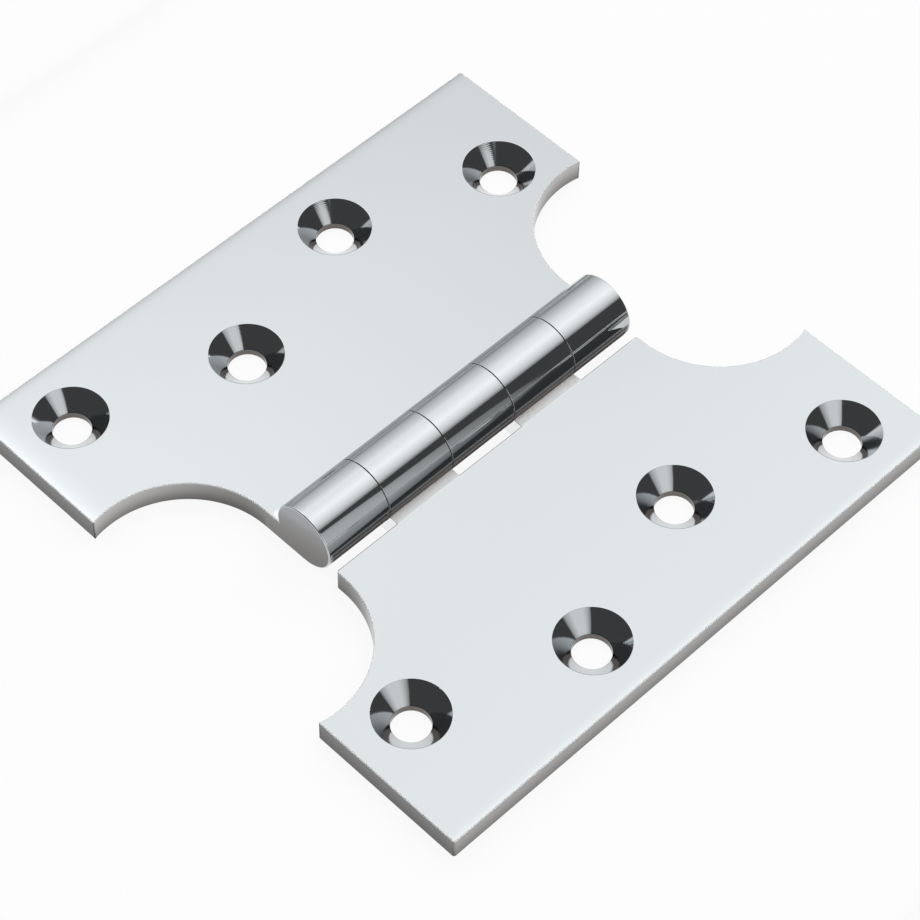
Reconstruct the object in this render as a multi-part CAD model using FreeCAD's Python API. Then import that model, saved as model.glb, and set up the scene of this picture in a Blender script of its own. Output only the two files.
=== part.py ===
"""Parliament hinge, opened flat: two thick leaves, scalloped at both ends beside the barrel,
turning on one pin whose ends are ground flush with the end knuckles.

Frame: the leaves lie with their backs on Z = 0 and their countersunk faces up.
X runs across the leaves and Y along the pin, with the origin on the back plane under the pin's middle.
The frame leaf is at -X and carries the odd knuckles, the door leaf is at +X and carries the even ones.
Sizes are in millimetres.
"""

import FreeCAD
import Part

import math
import os

# Leaves
LEAF_LENGTH = 102.0  # along the pin
OPEN_WIDTH = 101.7  # outer edge to outer edge, opened flat
LEAF_THICKNESS = 4.0
EDGE_BREAK = 0.15  # small bevel on the polished edges
CORNER_ROUND = 0.4  # upright corners

# Barrel
BARREL_DIAMETER = 11.0
BARREL_LENGTH = 63.0
KNUCKLES = 5
JOINT_PITCH = 12.9  # from one joint to the next
JOINT_GAP = 0.2  # between two knuckles
SWING_CLEARANCE = 1.4  # from a knuckle to the edge of the opposite leaf

# Scallops
SCALLOP_RADIUS = 16.0
SCALLOP_OFFSET = 8.3  # from the pin axis to the scallop's centre, across the leaf

# Pin
PIN_DIAMETER = 6.0
PIN_RUNNING_CLEARANCE = 0.05  # radial, in the door leaf's knuckles

# Screw holes
SCREW_HOLE_DIAMETER = 6.0
COUNTERSINK_DIAMETER = 11.7
COUNTERSINK_ANGLE = 90.0
SCREW_HOLES = 4  # in each leaf
SCREW_PITCH = 27.1  # along the pin
INNER_ROW = 31.8  # from the pin axis
OUTER_ROW = 41.0

BARREL_RADIUS = BARREL_DIAMETER / 2
PIN_RADIUS = PIN_DIAMETER / 2
PIN_HEIGHT = BARREL_RADIUS  # the barrel is flush with the backs of the leaves
INNER_EDGE = BARREL_RADIUS + SWING_CLEARANCE
BARREL_END = BARREL_LENGTH / 2
HALF_LENGTH = LEAF_LENGTH / 2
HALF_WIDTH = OPEN_WIDTH / 2

FRAME_SIDE = -1
DOOR_SIDE = 1
UP = FreeCAD.Vector(0, 0, 1)
ALONG_PIN = FreeCAD.Vector(0, 1, 0)
NEAR = 1e-4  # for finding edges by their place


def knuckle_spans():
    """The start and end of each knuckle along the pin, less the gaps."""
    middle = (KNUCKLES - 2) / 2
    joints = [(number - middle) * JOINT_PITCH for number in range(KNUCKLES - 1)]
    starts = [-BARREL_END] + [place + JOINT_GAP / 2 for place in joints]
    ends = [place - JOINT_GAP / 2 for place in joints] + [BARREL_END]
    return list(zip(starts, ends))


def own_spans(side):
    """The spans of one leaf's knuckles: the frame leaf has the first, the third and so on."""
    first = 0 if side == FRAME_SIDE else 1
    return knuckle_spans()[first::2]


def cylinder_along_pin(radius, start, end):
    """A solid cylinder on the pin axis."""
    base = FreeCAD.Vector(0, start, PIN_HEIGHT)
    return Part.makeCylinder(radius, end - start, base, ALONG_PIN)


def outline_end(side, end):
    """One end of a leaf's outline, from the outer corner over the scallop to the inner corner."""
    centre_y = BARREL_END + SCALLOP_RADIUS
    rise = HALF_LENGTH - centre_y
    reach = math.sqrt(SCALLOP_RADIUS**2 - rise**2)
    half_way = (math.atan2(rise, reach) - math.pi / 2) / 2
    outer = FreeCAD.Vector(side * HALF_WIDTH, end * HALF_LENGTH, 0)
    scallop_start = FreeCAD.Vector(side * (SCALLOP_OFFSET + reach), end * HALF_LENGTH, 0)
    scallop_middle = FreeCAD.Vector(
        side * (SCALLOP_OFFSET + SCALLOP_RADIUS * math.cos(half_way)),
        end * (centre_y + SCALLOP_RADIUS * math.sin(half_way)),
        0,
    )
    scallop_end = FreeCAD.Vector(side * SCALLOP_OFFSET, end * BARREL_END, 0)
    inner = FreeCAD.Vector(side * INNER_EDGE, end * BARREL_END, 0)
    edges = [
        Part.LineSegment(outer, scallop_start).toShape(),
        Part.Arc(scallop_start, scallop_middle, scallop_end).toShape(),
        Part.LineSegment(scallop_end, inner).toShape(),
    ]
    return edges, outer, inner


def plate(side):
    """A leaf without its knuckles."""
    top_edges, top_outer, top_inner = outline_end(side, 1)
    bottom_edges, bottom_outer, bottom_inner = outline_end(side, -1)
    inner_edge = Part.LineSegment(top_inner, bottom_inner).toShape()
    outer_edge = Part.LineSegment(bottom_outer, top_outer).toShape()
    edges = top_edges + bottom_edges + [inner_edge, outer_edge]
    outline = Part.Wire(Part.__sortEdges__(edges))
    return Part.Face(outline).extrude(UP * LEAF_THICKNESS)


def knuckle(side, start, end):
    """One knuckle with its web, which is tangent to the barrel and flush with the leaf's back."""
    reach = INNER_EDGE + LEAF_THICKNESS
    corner = FreeCAD.Vector(min(0, side * reach), start, 0)
    web = Part.makeBox(reach, end - start, LEAF_THICKNESS, corner)
    return web.fuse(cylinder_along_pin(BARREL_RADIUS, start, end))


def is_upright(edge):
    """True for an edge that runs straight up."""
    return edge.BoundBox.XLength < NEAR and edge.BoundBox.YLength < NEAR


def joint_side(edge, side):
    """True for an edge in the plane of a knuckle's side at a joint."""
    box = edge.BoundBox
    places = [y for span in own_spans(side) for y in span if abs(y) < BARREL_END - NEAR]
    return any(abs(box.YMin - y) < NEAR and abs(box.YMax - y) < NEAR for y in places)


def corner_edges(body, side):
    """The upright edges of the outline, without the inside corners beside the webs."""
    return [edge for edge in body.Edges if is_upright(edge) and not joint_side(edge, side)]


def broken_edges(body, side):
    """The edges to bevel: the outline of the front and the back, and the knuckles at the joints."""
    found = []
    for edge in body.Edges:
        box = edge.BoundBox
        is_level = box.ZLength < NEAR and min(abs(box.ZMin), abs(box.ZMin - LEAF_THICKNESS)) < NEAR
        is_outside = max(abs(box.XMin), abs(box.XMax)) > BARREL_RADIUS
        is_knuckle = joint_side(edge, side) and not is_upright(edge)
        if is_knuckle or (is_level and is_outside):
            found.append(edge)
    return found


def countersunk_hole(x, y):
    """The cutter of one screw hole, countersunk from the front."""
    hole_radius = SCREW_HOLE_DIAMETER / 2
    rim_radius = COUNTERSINK_DIAMETER / 2
    depth = (rim_radius - hole_radius) / math.tan(math.radians(COUNTERSINK_ANGLE / 2))
    hole = Part.makeCylinder(hole_radius, LEAF_THICKNESS, FreeCAD.Vector(x, y, 0), UP)
    base = FreeCAD.Vector(x, y, LEAF_THICKNESS - depth)
    countersink = Part.makeCone(hole_radius, rim_radius, depth, base, UP)
    return hole.fuse(countersink)


def screw_places(side):
    """The places of a leaf's screw holes, in two staggered rows."""
    middle = (SCREW_HOLES - 1) / 2
    rows = (OUTER_ROW, INNER_ROW)
    return [
        (side * rows[number % 2], side * (middle - number) * SCREW_PITCH)
        for number in range(SCREW_HOLES)
    ]


def leaf(side, bore_radius):
    """One leaf with its knuckles, bored for the pin and drilled for its screws."""
    body = plate(side)
    for start, end in own_spans(side):
        body = body.fuse(knuckle(side, start, end))
    body = body.removeSplitter()
    body = body.makeFillet(CORNER_ROUND, corner_edges(body, side))
    body = body.makeChamfer(EDGE_BREAK, broken_edges(body, side))
    body = body.cut(cylinder_along_pin(bore_radius, -BARREL_END, BARREL_END))
    for x, y in screw_places(side):
        body = body.cut(countersunk_hole(x, y))
    return body


def pin():
    """The pin, pressed into the frame leaf's knuckles, with its ends flush with theirs."""
    return cylinder_along_pin(PIN_RADIUS, -BARREL_END, BARREL_END)


def build():
    """Every piece of the hinge by its name."""
    return {
        "frame_leaf": leaf(FRAME_SIDE, PIN_RADIUS),
        "door_leaf": leaf(DOOR_SIDE, PIN_RADIUS + PIN_RUNNING_CLEARANCE),
        "hinge_pin": pin(),
    }


if __name__ == "__main__":
    os.makedirs("parts", exist_ok=True)
    for name, shape in build().items():
        print(name, "volume", round(shape.Volume, 3), "valid", shape.isValid())
        shape.exportStep(f"parts/{name}.step")
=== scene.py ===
import math

import bpy
from mathutils import Matrix, Vector


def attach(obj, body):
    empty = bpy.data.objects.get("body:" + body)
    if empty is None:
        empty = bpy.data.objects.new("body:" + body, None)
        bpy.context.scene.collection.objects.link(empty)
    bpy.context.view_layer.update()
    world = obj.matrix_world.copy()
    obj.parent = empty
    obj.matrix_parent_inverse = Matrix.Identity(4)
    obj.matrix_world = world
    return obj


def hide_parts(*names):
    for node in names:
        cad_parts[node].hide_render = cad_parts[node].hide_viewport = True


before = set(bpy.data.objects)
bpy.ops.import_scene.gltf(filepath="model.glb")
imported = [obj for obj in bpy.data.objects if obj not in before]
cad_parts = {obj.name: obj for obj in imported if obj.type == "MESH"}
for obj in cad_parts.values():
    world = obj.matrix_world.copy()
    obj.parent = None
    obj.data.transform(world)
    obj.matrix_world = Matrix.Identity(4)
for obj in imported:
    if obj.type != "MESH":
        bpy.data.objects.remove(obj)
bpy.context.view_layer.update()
bpy.ops.object.select_all(action="DESELECT")

MM = 0.001

# Sizes of the leaves, in millimetres, as on the solids
LEAF_LENGTH = 102.0
HALF_LENGTH = LEAF_LENGTH / 2
HALF_WIDTH = 50.85
LEAF_THICKNESS = 4.0
BARREL_RADIUS = 5.5
PIN_RADIUS = 3.0
RUNNING_CLEARANCE = 0.05
INNER_EDGE = 6.9
BARREL_END = 31.5
JOINTS = (-19.35, -6.45, 6.45, 19.35)
JOINT_GAP = 0.12  # thinner than on the solids, as its edges are rounded
SCALLOP_RADIUS = 16.0
SCALLOP_OFFSET = 8.3
CORNER_ROUND = 0.4
SCREW_HOLES = ((41.0, 40.65), (31.8, 13.55), (41.0, -13.55), (31.8, -40.65))
HOLE_RADIUS = 3.0
COUNTERSINK_RADIUS = 5.85
LAND = 1.15  # straight part of a hole, under its countersink

# Where the milling cutters start and end, clear of the metal
BEYOND_BARREL = -7.0
UNDER_BACK = -1.0
OVER_BARREL = 12.0
FULL_DEPTH = 14.0

# Softened edges
RIM_ROUND = 0.22  # at the ends of the barrel
EDGE_SHARE = 0.68  # of that round, on every other edge
JOINT_SHARE = 0.33  # of that round, at the joints
RIM_SOFTNESS = 0.05  # round the screw holes
SHARP = math.radians(25)  # between two faces, an edge that is rounded
SMOOTH = math.radians(40)  # between two faces, an edge that the light runs over


def srgb(code):
    """Linear colour of a written sRGB hex colour, with alpha."""
    values = [int(code[i : i + 2], 16) / 255 for i in (1, 3, 5)]
    linear = [v / 12.92 if v <= 0.04045 else ((v + 0.055) / 1.055) ** 2.4 for v in values]
    return (*linear, 1.0)


def add_node(tree, kind, sockets=None, **settings):
    """Adds a node, sets its fields, and fills or links its input sockets by name or number."""
    node = tree.nodes.new(kind)
    for name, value in settings.items():
        setattr(node, name, value)
    for key, value in (sockets or {}).items():
        if isinstance(value, bpy.types.NodeSocket):
            tree.links.new(value, node.inputs[key])
        else:
            node.inputs[key].default_value = value
    return node


def new_material(name):
    """An empty node material and its tree."""
    material = bpy.data.materials.new(name)
    material.use_nodes = True
    material.node_tree.nodes.clear()
    return material, material.node_tree


def finish_surface(tree, shader):
    """Joins a shader to the surface output."""
    add_node(tree, "ShaderNodeOutputMaterial", {"Surface": shader})


def math_node(tree, operation, first, second=0.0, clamp=False):
    """The result of one sum."""
    sockets = {0: first, 1: second}
    node = add_node(tree, "ShaderNodeMath", sockets, operation=operation, use_clamp=clamp)
    return node.outputs[0]


def product(tree, first, *others):
    """Several values multiplied together."""
    for other in others:
        first = math_node(tree, "MULTIPLY", first, other)
    return first


def mixed_colour(tree, share, first, second):
    """A colour between two others."""
    sockets = {0: share, 6: first, 7: second}
    return add_node(tree, "ShaderNodeMix", sockets, data_type="RGBA").outputs[2]


# Modelling helpers


def active(piece):
    """Makes one piece the only selected one."""
    bpy.ops.object.select_all(action="DESELECT")
    piece.select_set(True)
    bpy.context.view_layer.objects.active = piece
    return piece


def start_outline(name, start):
    """A piece in edit mode that holds one corner of an outline."""
    bpy.ops.mesh.primitive_plane_add(size=1)
    piece = bpy.context.object
    piece.name = name
    bpy.ops.object.mode_set(mode="EDIT")
    bpy.ops.mesh.select_all(action="SELECT")
    bpy.ops.mesh.merge(type="CENTER")
    bpy.ops.transform.translate(value=Vector(start) * MM)
    return piece


def line_to(start, end):
    """Draws one straight side of the outline."""
    step = (Vector(end) - Vector(start)) * MM
    bpy.ops.mesh.extrude_region_move(TRANSFORM_OT_translate={"value": step})


def arc(centre, axis, degrees, steps):
    """Draws one round side of the outline."""
    turn = -math.radians(degrees)
    bpy.ops.mesh.spin(steps=steps, angle=turn, center=Vector(centre) * MM, axis=axis)


def close_and_extrude(depth):
    """Fills the outline and gives it depth."""
    bpy.ops.mesh.select_all(action="SELECT")
    bpy.ops.mesh.remove_doubles(threshold=1e-7)
    bpy.ops.mesh.edge_face_add()
    bpy.ops.mesh.extrude_region_move(TRANSFORM_OT_translate={"value": Vector(depth) * MM})
    bpy.ops.mesh.select_all(action="SELECT")
    bpy.ops.mesh.normals_make_consistent(inside=False)
    bpy.ops.object.mode_set(mode="OBJECT")


def box(name, low, high):
    """A plain block between two corners, in millimetres."""
    low, high = Vector(low) * MM, Vector(high) * MM
    bpy.ops.mesh.primitive_cube_add(size=1, location=(low + high) / 2)
    piece = bpy.context.object
    piece.name = name
    piece.scale = high - low
    bpy.ops.object.transform_apply(location=True, scale=True)
    return piece


def cut(piece, cutter):
    """Takes the cutter out of the piece."""
    active(piece)
    modifier = piece.modifiers.new("cut", "BOOLEAN")
    modifier.operation = "DIFFERENCE"
    modifier.solver = "EXACT"
    modifier.object = cutter
    bpy.ops.object.modifier_apply(modifier=modifier.name)
    bpy.data.objects.remove(cutter)


def rolled_profile(name):
    """The leaf and its whole barrel in one section, run along the pin, as the bar is drawn."""
    fall = BARREL_RADIUS - LEAF_THICKNESS
    reach = math.sqrt(BARREL_RADIUS**2 - fall**2)
    sweep = 270 + math.degrees(math.atan2(fall, reach))
    start = (HALF_WIDTH, -HALF_LENGTH, 0)
    under_pin = (0, -HALF_LENGTH, 0)
    foot = (reach, -HALF_LENGTH, LEAF_THICKNESS)
    piece = start_outline(name, start)
    line_to(start, under_pin)
    arc((0, -HALF_LENGTH, BARREL_RADIUS), (0, 1, 0), sweep, 140)
    line_to(foot, (HALF_WIDTH, -HALF_LENGTH, LEAF_THICKNESS))
    close_and_extrude((0, LEAF_LENGTH, 0))
    return piece


def end_cutter(end):
    """The scallop and the run beside the barrel, at one end of the leaf."""
    start = (BEYOND_BARREL, end * BARREL_END, UNDER_BACK)
    turn = (SCALLOP_OFFSET, end * BARREL_END, UNDER_BACK)
    centre = (SCALLOP_OFFSET, end * (BARREL_END + SCALLOP_RADIUS), UNDER_BACK)
    sweep = 110
    last = math.radians(sweep - 90)
    top = end * (BARREL_END + SCALLOP_RADIUS + SCALLOP_RADIUS * math.sin(last))
    arc_end = (SCALLOP_OFFSET + SCALLOP_RADIUS * math.cos(last), top, UNDER_BACK)
    piece = start_outline("end_cutter", start)
    line_to(start, turn)
    arc(centre, (0, 0, 1), end * sweep, 72)
    line_to(arc_end, (BEYOND_BARREL, top, UNDER_BACK))
    close_and_extrude((0, 0, FULL_DEPTH))
    return piece


def screw_cutter(x, y):
    """A screw hole and its countersink, turned about the screw's axis."""
    top = LEAF_THICKNESS
    flare = 4.0  # how far the countersink's cone runs on over the leaf
    steps = [
        (x, y, UNDER_BACK),
        (x + HOLE_RADIUS + RIM_SOFTNESS + 1, y, UNDER_BACK),
        (x + HOLE_RADIUS, y, RIM_SOFTNESS),
        (x + HOLE_RADIUS, y, LAND),
        (x + COUNTERSINK_RADIUS - RIM_SOFTNESS, y, top - RIM_SOFTNESS),
        (x + COUNTERSINK_RADIUS + 10, y, top + flare),
        (x, y, top + flare),
    ]
    piece = start_outline("screw_cutter", steps[0])
    for before, after in zip(steps, steps[1:]):
        line_to(before, after)
    bpy.ops.mesh.select_all(action="SELECT")
    axis_foot = Vector((x, y, 0)) * MM
    bpy.ops.mesh.spin(steps=96, angle=2 * math.pi, center=axis_foot, axis=(0, 0, 1))
    bpy.ops.mesh.select_all(action="SELECT")
    bpy.ops.mesh.remove_doubles(threshold=1e-7)
    bpy.ops.mesh.normals_make_consistent(inside=False)
    bpy.ops.object.mode_set(mode="OBJECT")
    return piece


def bore_cutter(radius):
    """The bore for the pin."""
    bpy.ops.mesh.primitive_cylinder_add(
        vertices=96,
        radius=radius * MM,
        depth=(2 * BARREL_END + 4) * MM,
        location=(0, 0, BARREL_RADIUS * MM),
        rotation=(math.pi / 2, 0, 0),
    )
    bpy.ops.object.transform_apply(location=True, rotation=True)
    return bpy.context.object


def knuckle_gaps(first):
    """The spans that a leaf leaves to the other one: each second span along the barrel."""
    lows = [-LEAF_LENGTH] + [place - JOINT_GAP / 2 for place in JOINTS]
    highs = [place + JOINT_GAP / 2 for place in JOINTS] + [LEAF_LENGTH]
    return list(zip(lows, highs))[first::2]


def bevel_edges(piece, shares, width, segments):
    """Rounds edges, each by its share of the width."""
    layer = piece.data.attributes.new("bevel_weight_edge", "FLOAT", "EDGE")
    for number, share in shares.items():
        layer.data[number].value = share
    active(piece)
    bevel = piece.modifiers.new("bevel", "BEVEL")
    bevel.limit_method = "WEIGHT"
    bevel.width = width * MM
    bevel.segments = segments
    bevel.use_clamp_overlap = False
    bpy.ops.object.modifier_apply(modifier=bevel.name)
    piece.data.attributes.remove(piece.data.attributes["bevel_weight_edge"])


def round_corners(piece, corners):
    """Rounds the upright edges at the outline's corners."""
    shares = {}
    for edge in piece.data.edges:
        a, b = (piece.data.vertices[v].co / MM for v in edge.vertices)
        upright = (a - b).xy.length < 1e-3
        if upright and any(math.hypot(abs(a.x) - x, abs(a.y) - y) < 0.02 for x, y in corners):
            shares[edge.index] = 1.0
    bevel_edges(piece, shares, CORNER_ROUND, 4)


def sharp_edges(piece):
    """The middle of every sharp edge, in millimetres, by its number."""
    mesh = piece.data
    normals = {}
    for polygon in mesh.polygons:
        for key in polygon.edge_keys:
            normals.setdefault(key, []).append(polygon.normal)
    found = {}
    for edge in mesh.edges:
        sides = normals[tuple(sorted(edge.vertices))]
        if sides[0].angle(sides[1], 0) > SHARP:
            a, b = (mesh.vertices[v].co / MM for v in edge.vertices)
            found[edge.index] = (a + b) / 2
    return found


def soften_edges(piece):
    """Rounds every sharp edge a little: the barrel's rims most and the joints' edges least."""
    shares = {}
    for number, middle in sharp_edges(piece).items():
        from_joint = min(abs(middle.y - place) for place in JOINTS)
        from_pin = math.hypot(middle.x, middle.z - BARREL_RADIUS)
        at_end = abs(abs(middle.y) - BARREL_END) < 0.01
        if from_joint < JOINT_GAP and abs(middle.x) < INNER_EDGE + 0.05:
            shares[number] = JOINT_SHARE
        elif at_end and abs(from_pin - BARREL_RADIUS) < 0.02:
            shares[number] = 1.0
        else:
            shares[number] = EDGE_SHARE
    bevel_edges(piece, shares, RIM_ROUND, 3)


def smooth_faces(piece):
    """Lets the light run evenly over the round faces, while the flat ones stay flat."""
    active(piece)
    bpy.ops.object.shade_smooth_by_angle(angle=SMOOTH)
    even = piece.modifiers.new("even_normals", "WEIGHTED_NORMAL")
    even.weight = 100
    even.keep_sharp = True
    bpy.ops.object.modifier_apply(modifier=even.name)


def screw_distance(place):
    """How far a place is from the nearest screw's axis, in millimetres."""
    sides = (1, -1)  # the frame leaf's holes are the door leaf's, turned half round
    return min(
        math.hypot(place.x * side - x, place.y * side - y) for x, y in SCREW_HOLES for side in sides
    )


def make_leaf(name, first_gap, bore_radius, turned):
    """One leaf: a drawn bar, milled for the other leaf's knuckles, scalloped, bored and drilled."""
    piece = rolled_profile(name)
    for low, high in knuckle_gaps(first_gap):
        gap = box(
            "gap_cutter", (BEYOND_BARREL, low, UNDER_BACK), (INNER_EDGE, high, OVER_BARREL)
        )
        cut(piece, gap)
    for end in (-1, 1):
        cut(piece, end_cutter(end))
    rise = HALF_LENGTH - BARREL_END - SCALLOP_RADIUS
    tip = SCALLOP_OFFSET + math.sqrt(SCALLOP_RADIUS**2 - rise**2)
    corners = [(HALF_WIDTH, HALF_LENGTH), (tip, HALF_LENGTH)]
    if first_gap == 0:
        corners.append((INNER_EDGE, BARREL_END))
    round_corners(piece, corners)
    soften_edges(piece)
    cut(piece, bore_cutter(bore_radius))
    for x, y in SCREW_HOLES:
        cut(piece, screw_cutter(x, y))
    if turned:
        active(piece)
        piece.rotation_euler = (0, 0, math.pi)
        bpy.ops.object.transform_apply(rotation=True)
    smooth_faces(piece)
    return piece


# Finishes


def smooth_mask(tree, value, low, high):
    """From 0 at the low value to 1 at the high one."""
    settings = {"Value": value, "From Min": low, "From Max": high, "To Min": 0.0, "To Max": 1.0}
    mask = add_node(tree, "ShaderNodeMapRange", settings, interpolation_type="SMOOTHSTEP")
    return mask.outputs[0]


def zone(tree, distance, low, high):
    """The same for a distance, between two values in millimetres."""
    return smooth_mask(tree, distance, low * MM, high * MM)


def object_place(tree):
    """The place on the piece, whole and by its coordinates."""
    place = add_node(tree, "ShaderNodeTexCoord").outputs["Object"]
    return place, add_node(tree, "ShaderNodeSeparateXYZ", {0: place}).outputs


def pin_distance(tree, xyz):
    """The distance from the pin's axis, and the height over it."""
    height = math_node(tree, "SUBTRACT", xyz["Z"], BARREL_RADIUS * MM)
    across = product(tree, xyz["X"], xyz["X"])
    squares = math_node(tree, "ADD", across, product(tree, height, height))
    return math_node(tree, "SQRT", squares), height


def rolled_edge(tree, distance, depth, width):
    """How far the wheel has rolled the face down, by the distance from an edge."""
    power = math_node(tree, "MULTIPLY", distance, -1 / (width * MM))
    return math_node(tree, "MULTIPLY", math_node(tree, "EXPONENT", power), -depth * MM)


def metal_shader(tree, tint, roughness, relief=None):
    """Bare metal of a tint and roughness, with relief where it has some."""
    sockets = {"Base Color": tint, "Metallic": 1.0, "Roughness": roughness}
    if relief is not None:
        sockets["Normal"] = relief
    finish_surface(tree, add_node(tree, "ShaderNodeBsdfPrincipled", sockets).outputs[0])


def chrome_finish():
    """Chrome plate, polished on a wheel: a mirror with a faint unevenness and edges rolled down.

    At the foot of the barrel, painted shade: a dark tint and then a dull brownish film. Beside it,
    the leaf's front is satin and painted lighter.
    """
    material, tree = new_material("polished_chrome")
    place, xyz = object_place(tree)
    across = math_node(tree, "ABSOLUTE", xyz["X"])
    along = math_node(tree, "ABSOLUTE", xyz["Y"])
    # painted shade at the barrel's foot: a dark tint, and then a dull brownish film in place of the
    # mirror
    from_pin, height = pin_distance(tree, xyz)
    between_ends = zone(tree, along, 31.4, 30.6)
    side = product(tree, zone(tree, across, 4.4, 4.8), zone(tree, height, -3.0, -2.5))
    foot = product(tree, side, between_ends, zone(tree, from_pin, 5.65, 5.55))
    foot_shade = product(tree, foot, zone(tree, height, 0.8, 0.1))
    foot_shade_film = product(tree, foot, zone(tree, height, -0.2, -0.8))
    bare_metal = math_node(tree, "SUBTRACT", 1.0, foot_shade_film)
    # painted shade: the dark tint, then the brownish film
    tint = mixed_colour(tree, foot_shade, srgb("#C1C5C7"), srgb("#373433"))
    tint = mixed_colour(tree, foot_shade_film, tint, srgb("#736C68"))
    # the polish varies in clouds of about 11 mm
    cloud = add_node(tree, "ShaderNodeTexNoise", {"Vector": place, "Scale": 90.0, "Detail": 2.0})
    rough = math_node(tree, "MULTIPLY", smooth_mask(tree, cloud.outputs[0], 0.3, 0.7), 0.016)
    # the leaf's front beside the barrel is satin, and tinted white: a painted highlight
    satin_and_highlight = product(tree, zone(tree, across, 7.3, 6.4), zone(tree, from_pin, 5.55, 5.65))
    satin_and_highlight = product(tree, satin_and_highlight, between_ends, zone(tree, height, -2.2, -1.9))
    rough = math_node(tree, "ADD", rough, 0.032)
    rough = math_node(tree, "ADD", rough, math_node(tree, "MULTIPLY", satin_and_highlight, 0.7))
    # painted highlight: the satin front tinted white
    tint = mixed_colour(tree, satin_and_highlight, tint, srgb("#FFFFFF"))
    # the faces wave by a few thousandths of a millimetre over about 17 mm
    wave = add_node(tree, "ShaderNodeTexNoise", {"Vector": place, "Scale": 60.0, "Detail": 1.0})
    uneven = math_node(tree, "MULTIPLY", wave.outputs[0], 0.006 * MM)
    # the outer sides are rolled on both leaves, and the near end on the frame leaf
    from_side = math_node(tree, "SUBTRACT", HALF_WIDTH * MM, across)
    from_end = math_node(tree, "ADD", HALF_LENGTH * MM, xyz["Y"])
    on_frame = zone(tree, xyz["X"], 0.0, -6.0)
    end_roll = product(tree, rolled_edge(tree, from_end, 0.133, 1.4), on_frame)
    rolled = math_node(tree, "ADD", rolled_edge(tree, from_side, 0.165, 0.55), end_roll)
    height_map = math_node(tree, "ADD", uneven, rolled)
    relief = add_node(
        tree, "ShaderNodeBump", {"Height": height_map, "Strength": 1.0, "Distance": 1.0}
    )
    shader = add_node(
        tree,
        "ShaderNodeBsdfPrincipled",
        {
            "Base Color": tint,
            "Metallic": bare_metal,
            "Roughness": rough,
            "Specular IOR Level": math_node(tree, "MULTIPLY", bare_metal, 0.5),
            "Normal": relief.outputs[0],
        },
    )
    finish_surface(tree, shader.outputs[0])
    return material


def ramp(tree, value, stops):
    """A colour by a value, from stops of value and linear colour in rising order."""
    low, high = stops[0][0], stops[-1][0]
    settings = {"Value": value, "From Min": low, "From Max": high, "To Min": 0.0, "To Max": 1.0}
    share = add_node(tree, "ShaderNodeMapRange", settings).outputs[0]
    colours = add_node(tree, "ShaderNodeValToRGB", {0: share})
    marks = colours.color_ramp.elements
    for number, (place, colour) in enumerate((stops[0], stops[-1], *stops[1:-1])):
        position = (place - low) / (high - low)
        mark = marks[number] if number < 2 else marks.new(position)
        mark.position = position
        mark.color = colour
    return colours.outputs["Color"]


def depth_tint(tree, depth, stops):
    """A tint by depth, from stops of millimetres and hex colour."""
    return ramp(tree, depth, [(place * MM, srgb(code)) for place, code in stops])


def ground_grain(tree, place, stretch):
    """Grinding lines of about 0.15 mm, drawn out square to the given stretch."""
    # real lines are finer: these are as coarse as they need to be to show
    lines = add_node(tree, "ShaderNodeMapping", {0: place, 3: stretch})
    sockets = {"Vector": lines.outputs[0], "Scale": 500.0, "Detail": 2.0}
    scratch = add_node(tree, "ShaderNodeTexNoise", sockets)
    sockets = {"Height": scratch.outputs[0], "Strength": 0.15, "Distance": 0.03 * MM}
    return add_node(tree, "ShaderNodeBump", sockets).outputs[0]


# painted shade: tints, darker towards the back, by the height over it in millimetres, on edges that
# look across and along the pin
SIDE_SHADE_STOPS = (
    (0.0, "#72706F"),
    (0.4, "#7C7A79"),
    (1.2, "#8E8C8B"),
    (2.0, "#A09E9C"),
    (2.8, "#AEACAA"),
    (4.0, "#B8B6B4"),
)
END_SHADE_STOPS = (
    (0.0, "#434242"),
    (1.2, "#4D4C4C"),
    (2.8, "#626160"),
    (3.5, "#666564"),
    (4.0, "#7F7F7E"),
)


def linished_shaded_finish():
    """Upright edges, linished on a belt and lightly polished: a soft, broken mirror.

    Their tints are painted shade: darker across the ends than along the sides, and darker towards
    the back.
    """
    material, tree = new_material("linished_edge_chrome_painted_shade")
    place, xyz = object_place(tree)
    share = add_node(tree, "ShaderNodeAttribute", attribute_name="end_shade_share").outputs["Fac"]
    side_shade_tint = depth_tint(tree, xyz["Z"], SIDE_SHADE_STOPS)
    # painted shade: the ends take the darker tint
    tint = mixed_colour(tree, share, side_shade_tint, depth_tint(tree, xyz["Z"], END_SHADE_STOPS))
    metal_shader(tree, tint, 0.16, ground_grain(tree, place, (1.0, 1.0, 14.0)))
    return material


# painted shade on the barrel's ends: tints by height, in millimetres
BARREL_END_SHADE_STOPS = (
    (0.0, "#636160"),
    (2.0, "#6A6867"),
    (4.0, "#747271"),
    (6.0, "#7E7D7C"),
    (7.5, "#858688"),
    (9.0, "#95979A"),
    (11.0, "#9A9C9F"),
)


def barrel_end_shaded_finish():
    """The ends of the barrel and of the pin, ground flush together: one satin face, tinted with
    painted shade.
    """
    material, tree = new_material("ground_barrel_end_chrome_painted_shade")
    place, xyz = object_place(tree)
    # painted shade: the face darkens downwards, and a little towards the door side
    slant = math_node(tree, "SUBTRACT", xyz["Z"], math_node(tree, "MULTIPLY", xyz["X"], 0.3))
    tint = depth_tint(tree, slant, BARREL_END_SHADE_STOPS)
    metal_shader(tree, tint, 0.22, ground_grain(tree, place, (14.0, 1.0, 1.0)))
    return material


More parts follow.
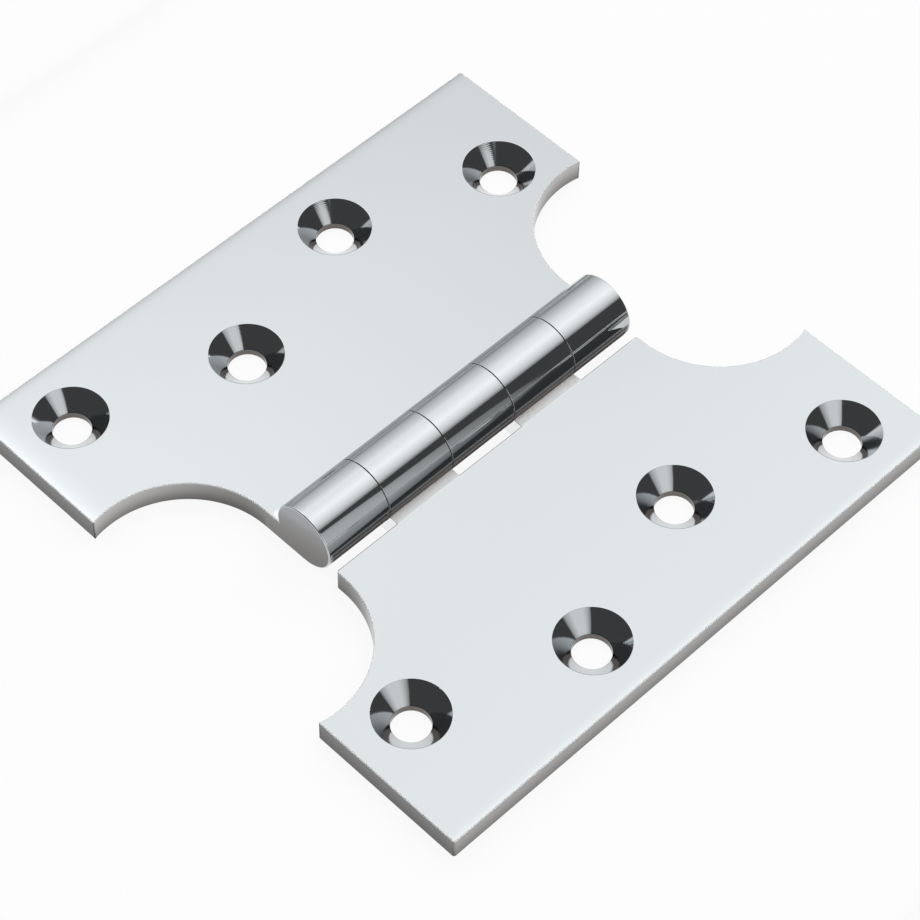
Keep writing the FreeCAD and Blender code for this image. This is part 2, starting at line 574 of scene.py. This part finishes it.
def buffed_highlight_finish():
    """The narrow rounds along the edges, buffed and not mirror bright, with a painted highlight: a
    paler tint than the polished chrome, for a soft pale line.
    """
    material, tree = new_material("buffed_round_chrome_painted_highlight")
    place, _ = object_place(tree)
    cloud = add_node(tree, "ShaderNodeTexNoise", {"Vector": place, "Scale": 300.0, "Detail": 2.0})
    patches = math_node(tree, "MULTIPLY", smooth_mask(tree, cloud.outputs[0], 0.2, 0.8), 0.15)
    # painted highlight: the near-white tint
    metal_shader(tree, srgb("#F2F3F4"), math_node(tree, "ADD", 0.8, patches))
    return material


def machined_finish():
    """Countersinks and holes, cut by a turning tool: bright, with fine rings 0.22 mm apart, and
    darker in the straight hole as painted shade.
    """
    material, tree = new_material("machined_countersink")
    place, xyz = object_place(tree)
    # painted shade: the straight hole under the countersink is darker
    hole_shade = zone(tree, xyz["Z"], LAND + 0.15, LAND - 0.05)
    tint = mixed_colour(tree, hole_shade, srgb("#BDC1C3"), srgb("#6A6562"))
    sockets = {"Vector": place, "Scale": 1400.0, "Distortion": 2.0}
    rings = add_node(tree, "ShaderNodeTexWave", sockets, bands_direction="Z")
    sockets = {"Height": rings.outputs[1], "Strength": 0.04, "Distance": 0.02 * MM}
    metal_shader(tree, tint, 0.07, add_node(tree, "ShaderNodeBump", sockets).outputs[0])
    return material


def joint_finish():
    """The knuckles' faces in the joints: dull, with old grease, and beside the barrel a painted
    highlight, a brighter tint.
    """
    material, tree = new_material("greased_joint_face")
    place, xyz = object_place(tree)
    grease = zone(tree, pin_distance(tree, xyz)[0], 5.60, 5.45)
    smear = add_node(tree, "ShaderNodeTexNoise", {"Vector": place, "Scale": 700.0, "Detail": 3.0})
    greased = mixed_colour(tree, smear.outputs[0], srgb("#5A4C4A"), srgb("#A89A96"))
    # painted highlight: beside the barrel the face is tinted brighter than the polished chrome
    shader = add_node(
        tree,
        "ShaderNodeBsdfPrincipled",
        {
            "Base Color": mixed_colour(tree, grease, srgb("#F0F1F2"), greased),
            "Metallic": math_node(tree, "SUBTRACT", 1.0, math_node(tree, "MULTIPLY", grease, 0.7)),
            "Roughness": math_node(tree, "ADD", 0.05, math_node(tree, "MULTIPLY", grease, 0.5)),
        },
    )
    finish_surface(tree, shader.outputs[0])
    return material


POLISHED, LINISHED_SHADED, MACHINED, BUFFED_HIGHLIGHT, BARREL_END_FACE, JOINT_FACE = range(6)
# painted shade: how much of the darker end tint the outer sides and scallops take
OUTER_SIDE_SHADE_SHARE = 0.45  # of the end tint, on the outer sides
SCALLOP_SHADE_SHARE = 0.8  # of it, where a scallop looks straight along the pin


def face_finish(middle, normal):
    """The finish of a face by where it lies and where it looks, in millimetres."""
    from_pin = math.hypot(middle.x, middle.z - BARREL_RADIUS)
    on_barrel = from_pin < BARREL_RADIUS + 0.01
    in_pocket = abs(middle.x) < INNER_EDGE + 0.3 and abs(middle.y) < BARREL_END - 0.3
    in_hole = screw_distance(middle) < COUNTERSINK_RADIUS + 0.02
    if on_barrel and abs(middle.y) > BARREL_END - 0.001:
        return BARREL_END_FACE
    if on_barrel and abs(normal.y) > 0.99:
        return JOINT_FACE
    if in_hole and 0.02 < middle.z < LEAF_THICKNESS - 0.02:
        return MACHINED
    if on_barrel or in_pocket or abs(normal.z) > 0.999:
        return POLISHED
    if abs(normal.z) < 0.1 or middle.z < LEAF_THICKNESS / 2:
        return LINISHED_SHADED
    return BUFFED_HIGHLIGHT


def give_finishes(piece, finishes):
    """Sets the finish of each face, and how far an upright edge looks along the pin: its share of
    the painted end shade.
    """
    for material in finishes:
        piece.data.materials.append(material)
    share = piece.data.attributes.new("end_shade_share", "FLOAT", "FACE")
    for polygon in piece.data.polygons:
        middle, normal = polygon.center / MM, polygon.normal
        polygon.material_index = face_finish(middle, normal)
        if abs(middle.x) > HALF_WIDTH - CORNER_ROUND:
            share.data[polygon.index].value = max(OUTER_SIDE_SHADE_SHARE, normal.y**2)
        elif abs(middle.y) > HALF_LENGTH - 0.05:
            share.data[polygon.index].value = 1.0
        else:
            share.data[polygon.index].value = SCALLOP_SHADE_SHARE * normal.y**2


barrel_end_shaded_chrome = barrel_end_shaded_finish()
finishes = (
    chrome_finish(),
    linished_shaded_finish(),
    machined_finish(),
    buffed_highlight_finish(),
    barrel_end_shaded_chrome,
    joint_finish(),
)

door_leaf = make_leaf("door_leaf_polished", 0, PIN_RADIUS + RUNNING_CLEARANCE, False)
frame_leaf = make_leaf("frame_leaf_polished", 1, PIN_RADIUS, True)
leaves = ((door_leaf, "door_side", "door_leaf"), (frame_leaf, "frame_side", "frame_leaf"))
for piece, body, node in leaves:
    give_finishes(piece, finishes)
    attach(piece, body)
    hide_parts(node)
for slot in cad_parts["hinge_pin"].material_slots:
    slot.material = barrel_end_shaded_chrome

# Studio: a long light tent over the hinge, parallel to its pin, with a dark front.
# Lengths are in metres, but the cards' corners are in millimetres.
TENT_RADIUS = 1.0
TENT_LENGTH = 8.0
TENT_BRIGHTEST = 1.6
TENT_FRONT = -0.4  # where the bright cloth starts, along the pin
DARK = 0.075
# angle over the floor from the +X side, against brightness
TENT_GRADIENT = (
    (0, DARK), (47, DARK), (50, 0.40), (58, 0.88), (66, 1.14), (74, 1.32), (82, 1.48),
    (90, 1.60), (98, 1.52), (107, 1.43), (115, 1.38), (123, 1.33), (131, 1.18), (139, 1.03),
    (147, 0.92), (155, 0.81), (163, 0.70), (171, 0.50), (180, 0.32),
)
FLOOR_LIFT = 0.9  # how far the floor shows as plain white, so that the rest shows the shadow


def grey(level):
    """A linear grey."""
    return (level, level, level, 1.0)


def tent_material():
    """White cloth that light comes through, from dark over the door side to bright overhead."""
    material, tree = new_material("light_tent_fabric")
    _, xyz = object_place(tree)
    angle = math_node(tree, "DEGREES", math_node(tree, "ARCTAN2", xyz["Z"], xyz["X"]))
    stops = [(place, grey(level / TENT_BRIGHTEST)) for place, level in TENT_GRADIENT]
    cloth = ramp(tree, angle, stops)
    # the cloth is black in front
    inside = math_node(tree, "SUBTRACT", xyz["Y"], TENT_FRONT)
    lit = math_node(tree, "MULTIPLY", inside, 12.0, clamp=True)
    shade = mixed_colour(tree, lit, grey(DARK / TENT_BRIGHTEST), cloth)
    # and over the frame leaf it is brighter towards its front
    over_frame = smooth_mask(tree, angle, 113, 121)
    nearness = math_node(tree, "SUBTRACT", 0.48, xyz["Y"])
    front = math_node(tree, "MAXIMUM", math_node(tree, "SUBTRACT", 0.30, xyz["Y"]), 0.0)
    gain = math_node(tree, "ADD", math_node(tree, "MULTIPLY", nearness, 0.6), front)
    gain = math_node(tree, "ADD", 1.0, product(tree, gain, product(tree, over_frame, lit)))
    gain = math_node(tree, "MINIMUM", math_node(tree, "MAXIMUM", gain, 0.6), 1.5)
    strength = math_node(tree, "MULTIPLY", gain, TENT_BRIGHTEST)
    glow = add_node(tree, "ShaderNodeEmission", {"Color": shade, "Strength": strength})
    finish_surface(tree, glow.outputs[0])
    return material


def floor_material():
    """Matt white card with a fine grain. It shows as white, and keeps the hinge's shadow."""
    material, tree = new_material("white_card_floor")
    place, _ = object_place(tree)
    grain = add_node(tree, "ShaderNodeTexNoise", {"Vector": place, "Scale": 900.0, "Detail": 3.0})
    sockets = {"Height": grain.outputs[0], "Strength": 0.05, "Distance": 0.1 * MM}
    relief = add_node(tree, "ShaderNodeBump", sockets)
    card = add_node(
        tree,
        "ShaderNodeBsdfPrincipled",
        {
            "Base Color": srgb("#FCFCFC"),
            "Roughness": 0.9,
            "Specular IOR Level": 0.1,
            "Normal": relief.outputs[0],
        },
    )
    white = add_node(tree, "ShaderNodeEmission", {"Color": grey(1.0), "Strength": 1.0})
    ray = add_node(tree, "ShaderNodeLightPath").outputs
    seen = math_node(tree, "ADD", ray["Is Camera Ray"], ray["Is Glossy Ray"])
    seen = math_node(tree, "ADD", seen, ray["Is Transmission Ray"], clamp=True)
    lift = math_node(tree, "MULTIPLY", seen, FLOOR_LIFT)
    sockets = {0: lift, 1: card.outputs[0], 2: white.outputs[0]}
    finish_surface(tree, add_node(tree, "ShaderNodeMixShader", sockets).outputs[0])
    return material


# Cards beside the hinge: metres along the pin, against brightness
PANEL_GRADIENT = (
    (-0.40, 0.22), (-0.31, 0.46), (-0.26, 0.66), (-0.20, 0.87), (-0.12, 1.04),
    (0.06, 1.03), (0.15, 0.72), (0.19, 0.59), (0.215, 0.41), (0.2275, 0.32),
    (0.242, 0.24), (0.248, 0.13),
)
DOOR_STRIP_GRADIENT = (
    (-0.06, 0.47), (0.042, 0.45), (0.05, 0.28), (0.06, 0.17), (0.07, 0.23), (0.1, 0.25),
)
FRAME_STRIP_GRADIENT = ((-0.06, 0.20), (0.1, 0.22))


def card_material(name, gradient):
    """Cloth that shines by itself, with its brightness running along the pin."""
    material, tree = new_material(name)
    _, xyz = object_place(tree)
    brightest = max(level for _, level in gradient)
    colour = ramp(tree, xyz["Y"], [(place, grey(level / brightest)) for place, level in gradient])
    glow = add_node(tree, "ShaderNodeEmission", {"Color": colour, "Strength": brightest})
    finish_surface(tree, glow.outputs[0])
    return material


def card(name, corners, gradient):
    """A card from its corners in millimetres, out of the camera's sight."""
    piece = start_outline(name, corners[0])
    for before, after in zip(corners, corners[1:]):
        line_to(before, after)
    bpy.ops.mesh.select_all(action="SELECT")
    bpy.ops.mesh.edge_face_add()
    bpy.ops.object.mode_set(mode="OBJECT")
    piece.data.materials.append(card_material(name + "_fabric", gradient))
    piece.visible_camera = False


def low_strip(name, x, gradient):
    """A low card along the pin, which shows in the barrel's sides and in the outer edges."""
    near, far, top = -60, 100, 5.4
    card(name, ((x, near, 0), (x, far, 0), (x, far, top), (x, near, top)), gradient)


bpy.ops.mesh.primitive_cylinder_add(
    vertices=128,
    radius=TENT_RADIUS,
    depth=TENT_LENGTH,
    end_fill_type="NGON",
    rotation=(math.pi / 2, 0, 0),
)
tent = bpy.context.object
tent.name = "light_tent"
bpy.ops.object.transform_apply(rotation=True)
tent.data.materials.append(tent_material())
tent.visible_camera = False

bpy.ops.mesh.primitive_plane_add(size=8, location=(0, 0, -0.05 * MM))
floor = bpy.context.object
floor.name = "floor"
floor.data.materials.append(floor_material())

panel = (
    (450, -400, 0), (450, 248, 0), (450, 240, 190), (450, 213, 262), (450, 206, 358),
    (450, 150, 375), (450, 60, 405), (450, -60, 440), (450, -200, 455), (450, -310, 390),
    (450, -400, 320),
)
card("side_panel", panel, PANEL_GRADIENT)
low_strip("door_strip", 100, DOOR_STRIP_GRADIENT)
low_strip("frame_strip", -100, FRAME_STRIP_GRADIENT)

world = bpy.data.worlds.new("studio")
bpy.context.scene.world = world
world.use_nodes = True
world.node_tree.nodes["Background"].inputs["Color"].default_value = grey(1.0)
world.node_tree.nodes["Background"].inputs["Strength"].default_value = 1.0

# Camera: fitted to the photograph
camera_data = bpy.data.cameras.new("camera")
camera = bpy.data.objects.new("camera", camera_data)
bpy.context.collection.objects.link(camera)
camera_data.sensor_width = 36
camera_data.lens = 130.37
camera_data.clip_start = 0.01
camera.location = (0.21102, -0.21770, 0.39801)
look_at = Vector((0.005025, -0.004515, 0.004))
view_line = look_at - camera.location
roll = Matrix.Rotation(math.radians(1.553), 3, "Z")
camera.rotation_euler = (view_line.to_track_quat("-Z", "Y").to_matrix() @ roll).to_euler()
bpy.context.scene.camera = camera

bpy.context.scene.view_settings.view_transform = "Standard"
